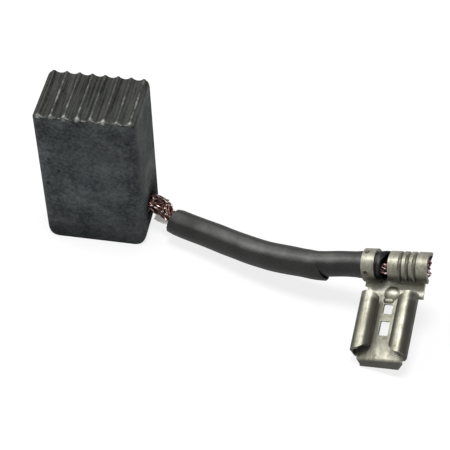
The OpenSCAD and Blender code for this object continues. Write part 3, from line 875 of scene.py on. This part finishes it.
def graphite_finish():
    """Pressed carbon: clouded near-black grey, speckled and pitted, darker round the lead hole and
    towards the foot, with dark furrows on the ridged face, worn edges, a painted sheen on the
    upper right side, worn crests painted lighter as highlights, and ridge tips with a painted
    highlight"""
    material, g, shader, place = new_finish("pressed_graphite", 0.55, 0.0, 0.25)
    x, y, z = g.axes(place)
    clouds = g.group(MOTTLE, Vector=place, **GRAPHITE_CLOUDS)
    grain = g.group(MOTTLE, Vector=place, **GRAPHITE_GRAIN)
    blotches = g.group(MOTTLE, Vector=place, Size=0.9 * MM, Detail=4.0, Low=0.36, High=0.66)
    bloom = g.ramp(g.gap(place, BLOOM_AT), 8.5 * MM, 1.0 * MM)
    foot = g.ramp(z, 8 * MM, 0.5 * MM)
    tone = g.mix(clouds, (0.015, 0.019, 0.020), (0.060, 0.068, 0.070))
    tone = g.over(tone, (0.050, 0.068, 0.080), bloom, 0.42)
    tone = g.over(tone, (0.014, 0.018, 0.020), blotches, 0.6)
    tone = g.over(tone, (0.098, 0.104, 0.102), grain, 0.36)
    tone = g.over(tone, (0.010, 0.012, 0.012), foot, 0.60)

    pits = g.group(PITS, Vector=place, Size=0.5 * MM, Share=0.34)
    sparse = g.group(MOTTLE, Vector=place, Size=1.6 * MM, Detail=2.0, Low=0.46, High=0.62)
    dark_pits = g.times(pits, sparse)
    # Painted reflection: the upper right side is painted lighter, as the sheen it shows at a flat
    # angle
    painted_side_sheen = g.times(g.ramp(x, SIDE_X - 0.5 * MM, SIDE_X - 0.1 * MM),
                          g.ramp(z, 5 * MM, 11 * MM))
    marks = g.group(SCRATCHES, Vector=place, Size=0.42 * MM, Stretch=6.0, Rarity=0.60)
    # Darker round the lead hole, with less sheen there
    darker_round_hole = g.ramp(g.gap(place, HOLE), 4.2 * MM, 1.9 * MM)
    tone = g.over(tone, (0.006, 0.007, 0.008), dark_pits, 0.9)
    tone = g.over(tone, (0.005, 0.006, 0.006), chip_mask(g, place), 0.85)
    # Painted sheen on the upper right side
    tone = g.over(tone, (0.085, 0.090, 0.088), painted_side_sheen, 0.45)
    tone = g.over(tone, (0.17, 0.18, 0.18), marks, 0.07)
    tone = g.over(tone, (0.006, 0.006, 0.006), darker_round_hole, 0.90)

    cut_way = g.quarter_turn(place)
    cutter = g.group(SCRATCHES, Vector=cut_way, Size=0.26 * MM, Stretch=26.0, Rarity=0.44)
    furrow = g.group(SCRATCHES, Vector=cut_way, Size=0.5 * MM, Stretch=20.0, Rarity=0.50)
    face = g.ramp(z, BLOCK_HIGH.z - 0.62 * MM, BLOCK_HIGH.z - 0.45 * MM)
    ploughed = g.times(furrow, face)
    tone = g.over(tone, (0.016, 0.016, 0.013), face, 0.70)
    tone = g.over(tone, (0.009, 0.010, 0.009), ploughed, 0.72)
    tone = g.over(tone, (0.080, 0.080, 0.070), g.times(cutter, face), 0.32)

    line, tip = ridge_masks(g, place, x, y, z)
    chipped = g.group(MOTTLE, Vector=place, Size=0.6 * MM, Detail=4.0, Low=0.46, High=0.60)
    rim = g.times(g.ramp(y, BLOCK_LOW.y + 0.36 * MM, BLOCK_LOW.y + 0.10 * MM),
                  g.upward(0.25, 0.75), chipped)
    worn = g.group(EDGE_WEAR, Vector=place, Width=0.20 * MM, Patch=0.6 * MM)
    near_face = g.ramp(z, BLOCK_HIGH.z - 2.0 * MM, BLOCK_HIGH.z - 1.0 * MM)
    # Painted highlights on the worn crests and on the ridge tips
    tone = g.over(tone, (0.17, 0.172, 0.16), line)
    tone = g.over(tone, (0.40, 0.41, 0.40), tip)
    tone = g.over(tone, (0.26, 0.265, 0.25), rim, 0.60)
    tone = g.over(tone, (0.17, 0.175, 0.17), worn, g.scaled(near_face, 0.35, 0.20))
    g.join(tone, shader.inputs["Base Color"])

    gloss = g.scaled(clouds, -0.10, 0.60)
    g.join(g.scaled(line, -0.12, gloss), shader.inputs["Roughness"])
    sheen = g.times(g.scaled(own_mottle(g, place, GRAPHITE_GRAIN), 0.55, 0.55),
                    g.scaled(own_mottle(g, place, GRAPHITE_CLOUDS), 0.7, 0.55),
                    g.scaled(foot, -0.35, 1.0), g.scaled(darker_round_hole, -0.75, 1.0),
                    g.scaled(face, -0.58, 1.0))
    dull_rim(g, shader, 0.22, sheen)
    height = g.scaled(grain, 0.5, g.times(dark_pits, -1.0))
    height = g.scaled(marks, -0.3, height)
    height = g.scaled(ploughed, -0.8, height)
    bump(g, height, 0.5, 0.06 * MM, shader)
    return material


# ---------------------------------------------------------------- plated sheet
# Places on the terminal, in its own frame: how far along the wire the wire crimp's grooves cross
# it, and the punch marks round the sleeve crimp
FIRST_GROOVE, GROOVE_PITCH, GROOVES = 1.85 * MM, 0.95 * MM, 3
CRIMP_GROOVES = [FIRST_GROOVE + GROOVE_PITCH * i for i in range(GROOVES)]
SLEEVE_CRIMP_R = 2.2 * MM
SLEEVE_CRIMP_MIDDLE = Vector((-2.68 * MM, 3.3 * MM, SLEEVE_CRIMP_R))
PUNCH_MARKS = [SLEEVE_CRIMP_MIDDLE + SLEEVE_CRIMP_R * Vector((0, math.cos(a), math.sin(a)))
               for a in (math.radians(61), math.radians(140))]


def on_terminal(g, place):
    """The place in the terminal's own frame"""
    made = g.node("ShaderNodeMapping", vector_type="TEXTURE", in_Location=TERMINAL_AT,
                  in_Rotation=TERMINAL_TURN)
    g.join(place, made.inputs["Vector"])
    return made.outputs[0]


def plated_finish():
    """Tin-plated sheet, greyish yellow: rolled streaks, stains and specks, and bright worn edges;
    painted shade on the flanks, on faces turned side-on, on the underside, between the rails, in
    the grooves and punch marks and on the front lip, and a painted highlight across the neck"""
    material, g, shader, place = new_finish("tin_plated_sheet", 0.4, 0.8, 0.5)
    local = on_terminal(g, place)
    x, y, z = g.axes(local)
    from_middle = g.math("ABSOLUTE", x)

    stains = g.group(MOTTLE, Vector=place, Size=2.0 * MM, Detail=3.0, Low=0.32, High=0.70)
    specks = g.group(MOTTLE, Vector=place, Size=0.4 * MM, Detail=4.0, Low=0.50, High=0.78)
    streaks = g.group(SCRATCHES, Vector=g.quarter_turn(local), Size=0.28 * MM, Stretch=18.0,
                      Rarity=0.46)
    tone = g.mix(stains, (0.235, 0.230, 0.185), (0.145, 0.138, 0.104))
    tone = g.over(tone, (0.36, 0.35, 0.29), streaks, 0.30)
    tone = g.over(tone, (0.07, 0.064, 0.046), specks, 0.45)

    neck = g.times(g.ramp(y, -0.9 * MM, -0.3 * MM), g.ramp(z, 1.5 * MM, 1.0 * MM))
    # Painted shade: faces turned down are painted darker, except at the neck
    low = g.times(g.math("SUBTRACT", 1.0, g.upward(-0.1, 0.7)), g.scaled(neck, -0.8, 1.0))
    # Painted shade: faces of the rails turned side-on to the wire's way are painted darker
    turned_off = g.times(g.ramp(g.math("ABSOLUTE", g.facing(WIRE_WAY)), 0.15, 0.66),
                         g.ramp(y, -0.9 * MM, -1.3 * MM))
    rail = g.ramp(y, 0.2 * MM, -0.4 * MM)
    # Painted shade on the floor between the rails
    inside = g.times(g.ramp(from_middle, 1.75 * MM, 1.2 * MM), g.ramp(z, 0.75 * MM, 0.5 * MM),
                     rail, g.ramp(y, -8.3 * MM, -6.6 * MM))
    # Painted shade on the outer flanks of the rails
    flank = g.times(g.ramp(from_middle, 2.9 * MM, 3.6 * MM), rail)
    # Painted highlight: a bright band across the neck, as the lamp's reflection in the flat sheet
    painted_neck_highlight = g.times(neck, g.ramp(y, -0.1 * MM, 0.45 * MM), g.scaled(stains, -0.35, 0.85))
    tone = g.over(tone, (0.050, 0.047, 0.037), low, 0.75)
    tone = g.over(tone, (0.040, 0.037, 0.028), turned_off, 0.85)
    tone = g.over(tone, (0.085, 0.084, 0.070), inside, 0.45)
    tone = g.over(tone, (0.030, 0.028, 0.022), flank, g.scaled(stains, 0.2, 0.72))
    tone = g.over(tone, (0.66, 0.65, 0.55), painted_neck_highlight)
    # Painted shade on the front lip
    tone = g.over(tone, (0.055, 0.054, 0.051), g.ramp(y, -8.85 * MM, -9.15 * MM), 0.88)

    # Painted shade in the crimp's grooves and in the punch marks
    from_groove = g.nearest([g.math("ABSOLUTE", g.math("SUBTRACT", x, at))
                             for at in CRIMP_GROOVES])
    groove = g.times(g.ramp(from_groove, 0.24 * MM, 0.08 * MM),
                     g.times(g.ramp(z, 1.4 * MM, 2.8 * MM), g.ramp(y, 0.6 * MM, 1.1 * MM)))
    punched = g.ramp(g.nearest([g.gap(local, at) for at in PUNCH_MARKS]), 0.42 * MM, 0.22 * MM)
    worn = g.group(EDGE_WEAR, Vector=place, Width=0.12 * MM, Patch=0.9 * MM)
    tone = g.over(tone, (0.028, 0.026, 0.020), groove, 0.80)
    tone = g.over(tone, (0.022, 0.020, 0.016), punched, 0.85)
    tone = g.over(tone, (0.60, 0.59, 0.52), worn, 0.35)
    g.join(tone, shader.inputs["Base Color"])

    # Painted shade: the flanks and side-on faces are also made less metallic and glossy, so they
    # stay dark
    painted_shade_sides = g.math("MAXIMUM", flank, turned_off)
    g.join(g.scaled(painted_shade_sides, -0.62, 0.8), shader.inputs["Metallic"])
    g.join(g.scaled(painted_shade_sides, -0.35, 0.5), shader.inputs["Specular IOR Level"])
    rough = g.scaled(stains, 0.08, 0.40)
    g.join(g.scaled(specks, 0.12, rough), shader.inputs["Roughness"])
    waves = g.group(MOTTLE, Vector=place, Size=1.4 * MM, Detail=1.0, Low=0.2, High=0.8)
    height = g.scaled(specks, -0.12, g.scaled(streaks, 0.15, waves))
    bump(g, height, 0.35, 0.05 * MM, shader)
    return material


# ---------------------------------------------------------------- copper, sleeving, liner, powder
def copper_finish():
    """Bare copper wire, from pinkish to dark brown, each wire in its own tone, with pinkish-white
    painted highlights
    """
    material, g, shader, place = new_finish("bare_copper", 0.32, 0.92, 0.5)
    wire = g.node("ShaderNodeAttribute", attribute_name="wire_tone").outputs["Fac"]
    burnt = g.group(MOTTLE, Vector=place, Size=0.9 * MM, Detail=3.0, Low=0.34, High=0.64)
    # Pinkish-white patches on the lighter wires: painted highlights
    bright = g.group(MOTTLE, Vector=place, Size=0.45 * MM, Detail=2.0, Low=0.50, High=0.68)
    tone = g.mix(wire, (0.070, 0.029, 0.024), (0.25, 0.122, 0.102))
    tone = g.over(tone, (0.024, 0.010, 0.009), burnt, 0.88)
    tone = g.over(tone, (0.88, 0.74, 0.71), g.times(bright, g.ramp(wire, 0.30, 0.80)))
    g.join(tone, shader.inputs["Base Color"])
    g.join(g.scaled(burnt, 0.25, 0.26), shader.inputs["Roughness"])
    fine = g.group(MOTTLE, Vector=place, Size=0.08 * MM, Detail=2.0, Low=0.3, High=0.7)
    bump(g, fine, 0.3, 0.01 * MM, shader)
    return material


# The way that the side of the sleeving with a painted sheen faces
SHEEN_WAY = Vector((-0.157, -0.236, 0.958))


def sleeving_finish(name, dark, light, dusty):
    """Black coated sleeving: satin, with the braid faintly showing, dusty, a painted sheen on one
    side, and painted blackest past the sleeve crimp, as shade"""
    material, g, shader, place = new_finish(name, 0.5, 0.0, 0.5)
    mapped = g.node("ShaderNodeUVMap", uv_map="along").outputs[0]
    braid = g.group(BRAID, Map=mapped, Around=22.0, Pitch=1.1 * MM)
    clouds = g.group(MOTTLE, Vector=place, Size=2.4 * MM, Detail=3.0, Low=0.3, High=0.72)
    dust = g.group(MOTTLE, Vector=place, Size=0.3 * MM, Detail=4.0, Low=0.45, High=0.78)
    worn = g.group(EDGE_WEAR, Vector=place, Width=0.12 * MM, Patch=0.9 * MM)
    # Painted sheen: the side that faces this way is painted lighter, as a highlight along the
    # sleeve
    painted_sheen = g.ramp(g.facing(SHEEN_WAY), 0.85, 1.0)
    # Painted shade: past the sleeve crimp the sleeve is painted near-black and mirrors less, in the
    # gap between the crimps
    past_crimp = g.ramp(g.axes(place)[0], CRIMP_TO_X - 0.11 * MM, CRIMP_TO_X + 0.29 * MM)
    tone = g.mix(clouds, dark, light)
    tone = g.over(tone, dusty, dust, 0.30)
    tone = g.over(tone, dusty, braid, 0.14)
    # The painted sheen, stronger where the clouds are light
    tone = g.over(tone, (0.125, 0.125, 0.119), painted_sheen, g.scaled(clouds, 0.40, 0.30))
    tone = g.over(tone, (0.09, 0.09, 0.086), worn, 0.4)
    tone = g.over(tone, (0.004, 0.004, 0.004), past_crimp, 0.92)
    g.join(tone, shader.inputs["Base Color"])
    dull_rim(g, shader, 0.25, g.scaled(past_crimp, -0.75, 1.0))
    g.join(g.scaled(dust, 0.10, 0.36), shader.inputs["Roughness"])
    bump(g, g.scaled(dust, 0.4, braid), 0.3, 0.02 * MM, shader)
    return material


def liner_finish():
    """Pale grey fibre liner, fuzzy, with fibres along it, and a faint painted glow that lifts it
    where it lies in shade
    """
    material, g, shader, place = new_finish("pale_fibre", 0.85, 0.0, 0.3)
    mapped = g.node("ShaderNodeUVMap", uv_map="along").outputs[0]
    fibres = g.node("ShaderNodeMapping", in_Scale=(0.004, 0.06, 1.0))
    g.join(mapped, fibres.inputs["Vector"])
    fine = g.group(MOTTLE, Vector=fibres.outputs[0], Size=0.02 * MM, Detail=3.0, Low=0.3,
                   High=0.7)
    clouds = g.group(MOTTLE, Vector=place, Size=1.0 * MM, Detail=3.0, Low=0.3, High=0.7)
    tone = g.mix(fine, (0.72, 0.72, 0.70), (0.86, 0.86, 0.84))
    tone = g.over(tone, (0.62, 0.60, 0.56), clouds, 0.4)
    g.join(tone, shader.inputs["Base Color"])
    # Painted light: the liner glows faintly in its own colour, to lift it where it lies in shade
    g.join(tone, shader.inputs["Emission Color"])
    shader.inputs["Emission Strength"].default_value = 0.30
    bump(g, fine, 0.12, 0.004 * MM, shader)
    return material


def powder_finish():
    """Copper and graphite powder, pressed in, dark and grainy"""
    material, g, shader, place = new_finish("tamped_powder_grains", 0.75, 0.1, 0.4)
    grains = g.group(PITS, Vector=place, Size=0.16 * MM, Share=0.6)
    patches = g.group(MOTTLE, Vector=place, Size=0.5 * MM, Detail=3.0, Low=0.4, High=0.65)
    tone = g.mix(patches, (0.022, 0.020, 0.020), (0.085, 0.040, 0.030))
    tone = g.over(tone, (0.20, 0.10, 0.075), grains, 0.35)
    g.join(tone, shader.inputs["Base Color"])
    bump(g, grains, 0.6, 0.05 * MM, shader)
    return material


# ---------------------------------------------------------------- pieces take their finishes
def dress(node, material):
    """A CAD node keeps its shape and takes a finish"""
    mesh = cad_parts[node].data
    for i in range(max(1, len(mesh.materials))):
        if i < len(mesh.materials):
            mesh.materials[i] = material
        else:
            mesh.materials.append(material)


outer_black = sleeving_finish("black_outer_sleeving", (0.006, 0.0066, 0.006),
                              (0.013, 0.0136, 0.0125), (0.032, 0.032, 0.030))
inner_black = sleeving_finish("black_inner_sleeving", (0.005, 0.005, 0.0055),
                              (0.011, 0.011, 0.011), (0.028, 0.028, 0.027))
copper = copper_finish()
seat(lead, "copper", copper, "copper_lead")
seat(loose_wires, "copper", copper)
seat(outer_sleeving, "outer_sleeving", outer_black, "outer_sleeve")
seat(inner_sleeving, "inner_sleeving", inner_black, "inner_sleeve")
seat(liner, "liner_fibre", liner_finish(), "fibre_liner")
seat(powder, "tamping_powder", powder_finish(), "tamping_plug")
for piece in (lead, loose_wires):
    smooth_edges(piece, 60)

dress("brush_block", graphite_finish())
dress("flag_terminal", plated_finish())


# ---------------------------------------------------------------- floor, light and world
FLOOR_SIZE = 6
FLOOR_TONE = 0.86
# How much of the floor is plain white to a straight ray, and how bright the world is to the rest
FLOOR_WHITE = 0.82
WORLD_LIGHT = 0.22
# Where the lamps point
LIT_SPOT = Vector((0.02, -0.005, 0.008))


def straight_rays(g):
    """Mask of what the camera sees straight, in a mirror or through glass"""
    seen = g.node("ShaderNodeLightPath").outputs
    straight = g.math("ADD", seen["Is Camera Ray"], seen["Is Glossy Ray"])
    return g.math("ADD", straight, seen["Is Transmission Ray"], clamp=True)


def pale_stage_finish():
    """White to the camera, to mirrors and through glass, with a little of its real shading kept"""
    material = bpy.data.materials.new("pale_floor")
    material.use_nodes = True
    material.node_tree.nodes.clear()
    g = Graph(material.node_tree)
    plain = g.node("ShaderNodeBsdfDiffuse", in_Color=(FLOOR_TONE, FLOOR_TONE, FLOOR_TONE, 1))
    white = g.node("ShaderNodeEmission", in_Color=(1, 1, 1, 1))
    both = g.node("ShaderNodeMixShader")
    g.join(g.times(straight_rays(g), FLOOR_WHITE), both.inputs[0])
    g.join(plain.outputs[0], both.inputs[1])
    g.join(white.outputs[0], both.inputs[2])
    g.join(both.outputs[0], g.node("ShaderNodeOutputMaterial").inputs["Surface"])
    return material


def make_floor():
    """A wide flat floor under the brush"""
    bench_clear()
    bpy.ops.mesh.primitive_plane_add(size=FLOOR_SIZE, location=(0, 0, 0))
    floor = bpy.context.object
    floor.name = "floor"
    floor.data.materials.append(pale_stage_finish())


def hang_lamp(name, at, size, watts):
    """A square softbox turned to the brush"""
    bench_clear()
    bpy.ops.object.light_add(type="AREA", location=at)
    lamp = bpy.context.object
    lamp.name = name
    lamp.data.shape = "SQUARE"
    lamp.data.size = size
    lamp.data.energy = watts
    lamp.rotation_mode = "QUATERNION"
    lamp.rotation_quaternion = (LIT_SPOT - Vector(at)).to_track_quat("-Z", "Y")


def set_world():
    """A studio that is white to straight rays and lights the brush faintly from all round"""
    world = bpy.data.worlds.new("studio")
    bpy.context.scene.world = world
    world.use_nodes = True
    g = Graph(world.node_tree)
    back = world.node_tree.nodes["Background"]
    back.inputs["Color"].default_value = (1, 1, 1, 1)
    strength = g.scaled(straight_rays(g), 1 - WORLD_LIGHT, WORLD_LIGHT)
    g.join(strength, back.inputs["Strength"])


make_floor()
set_world()
hang_lamp("overhead_softbox", (0.02, 0.0, 0.38), 0.13, 1.40)
hang_lamp("left_softbox", (-0.208, 0.052, 0.332), 0.17, 0.70)
bpy.context.scene.view_settings.view_transform = "Standard"
